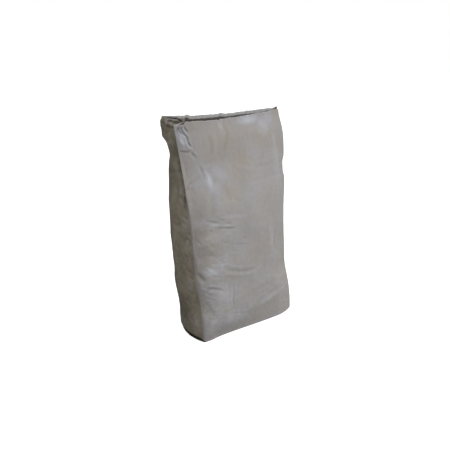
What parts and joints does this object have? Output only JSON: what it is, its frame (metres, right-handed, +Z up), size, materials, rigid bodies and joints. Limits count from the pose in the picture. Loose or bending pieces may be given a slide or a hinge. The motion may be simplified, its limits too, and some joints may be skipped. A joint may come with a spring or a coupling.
{
  "type": "bag of refractory clay",
  "caption": "Upright gusseted paper sack full of milled refractory clay, block bottom, open mouth pressed almost shut.",
  "frame": {"origin": "on the floor, in the middle of the sack's block bottom", "axes": "+Z up from the bottom to the mouth, +X across the broad front panel to its right edge, -Y out of the front panel"},
  "size_m": [0.4069, 0.1819, 0.716],
  "materials": {
    "paper": "matte, dusty, creased sack kraft",
    "clay": "matte loose clay flour"
  },
  "bodies": {
    "root": {"paper_sack": "paper", "clay_fill": "clay"}
  },
  "joints": []
}
